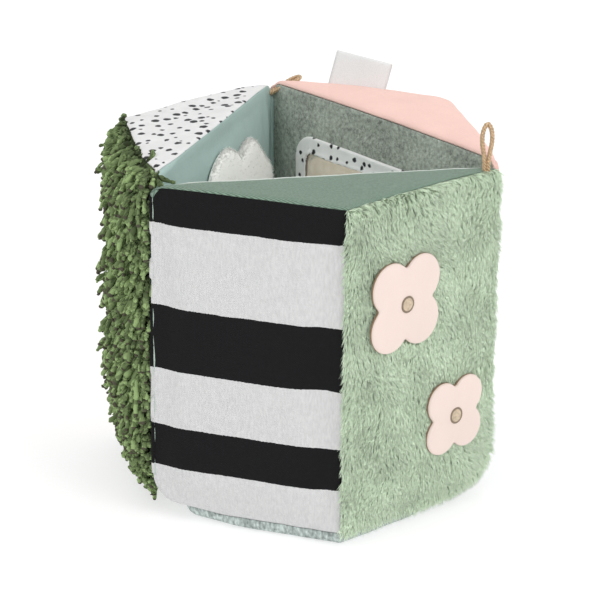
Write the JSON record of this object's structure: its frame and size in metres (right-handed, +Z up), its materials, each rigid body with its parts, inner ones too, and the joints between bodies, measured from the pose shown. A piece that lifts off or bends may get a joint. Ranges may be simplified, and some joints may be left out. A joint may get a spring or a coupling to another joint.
{
  "type": "baby activity cube",
  "caption": "Soft fold-out activity cube: stuffed triangular cushions sewn edge to edge close into a six-sided ring with a different fabric, pile, flower, cloud or mirror on each face.",
  "frame": {"origin": "on the floor under the middle of the closed toy's outline, 3.6 mm left of and 4 mm behind the axis of its six-sided ring", "axes": "+Z up; -Y is the front, where the front cushion's wide corner points; +X to the right, towards the open corner of the chain"},
  "size_m": [0.1979, 0.2303, 0.2251],
  "materials": {
    "foam": "matte",
    "dotted_cotton": "matte",
    "melange_jersey": "matte",
    "peach_velour": "matte",
    "chenille": "matte",
    "teal_cotton": "matte",
    "sherpa": "matte",
    "sage_twill": "matte",
    "striped_cotton": "matte",
    "fur": "matte",
    "mint_cotton": "matte",
    "flower_velour": "matte",
    "embroidery": "matte",
    "plastic": "satin",
    "ribbed_velvet": "matte",
    "oat_linen": "matte",
    "grey_plush": "matte",
    "film": "gloss",
    "mirror_film": "polished",
    "gold_cord": "satin",
    "label_tape": "matte"
  },
  "bodies": {
    "left_cushion": {"left_foam_core": "foam", "left_top_panel": "dotted_cotton", "left_base_panel": "melange_jersey", "left_outer_panel": "peach_velour", "left_chenille_backing": "chenille", "left_well_panel": "teal_cotton", "left_chenille_pile": "chenille", "rattle": "plastic", "cloud": "sherpa", "hinge_seam_front": "teal_cotton", "hinge_seam_rear": "teal_cotton"},
    "front_cushion": {"front_foam_core": "foam", "front_top_panel": "sage_twill", "front_base_panel": "melange_jersey", "front_striped_panel": "striped_cotton", "front_fur_backing": "fur", "front_well_panel": "mint_cotton", "front_fur_pile": "fur", "squeaker": "plastic", "flower_large": "flower_velour", "flower_large_centre": "embroidery", "flower_small": "flower_velour", "flower_small_centre": "embroidery"},
    "rear_cushion": {"rear_foam_core": "foam", "rear_top_panel": "peach_velour", "rear_base_panel": "melange_jersey", "rear_right_panel": "ribbed_velvet", "rear_left_panel": "oat_linen", "rear_well_panel": "grey_plush", "crinkle_film": "film", "mirror_sheet": "mirror_film", "mirror_frame": "dotted_cotton"},
    "front_loop": {"hanging_loop_front": "gold_cord"},
    "rear_loop": {"hanging_loop_rear": "gold_cord"},
    "label": {"seam_label": "label_tape"}
  },
  "joints": [
    {"name": "front_hinge", "type": "hinge", "parent": "left_cushion", "child": "front_cushion", "pos_m": [-0.09166, -0.059, 0.1], "axis": [0, 0, -1], "range_deg": [0, 205]},
    {"name": "rear_hinge", "type": "hinge", "parent": "left_cushion", "child": "rear_cushion", "pos_m": [0.0036, 0.106, 0.1], "axis": [0, 0, 1], "range_deg": [0, 220]},
    {"name": "front_loop_flex", "type": "hinge", "parent": "front_cushion", "child": "front_loop", "pos_m": [0.09064, -0.06375, 0.1957], "axis": [1, 0, 0], "range_deg": [-30, 30], "stiffness_Nm_per_rad": 0.001},
    {"name": "rear_loop_flex", "type": "hinge", "parent": "rear_cushion", "child": "rear_loop", "pos_m": [0.00982, 0.09882, 0.1987], "axis": [1, 0, 0], "range_deg": [0, 70], "stiffness_Nm_per_rad": 0.001},
    {"name": "label_flex", "type": "hinge", "parent": "rear_cushion", "child": "label", "pos_m": [0.0482, 0.07725, 0.1986], "axis": [-0.866, 0.5, 0], "range_deg": [-45, 40], "stiffness_Nm_per_rad": 0.001}
  ]
}
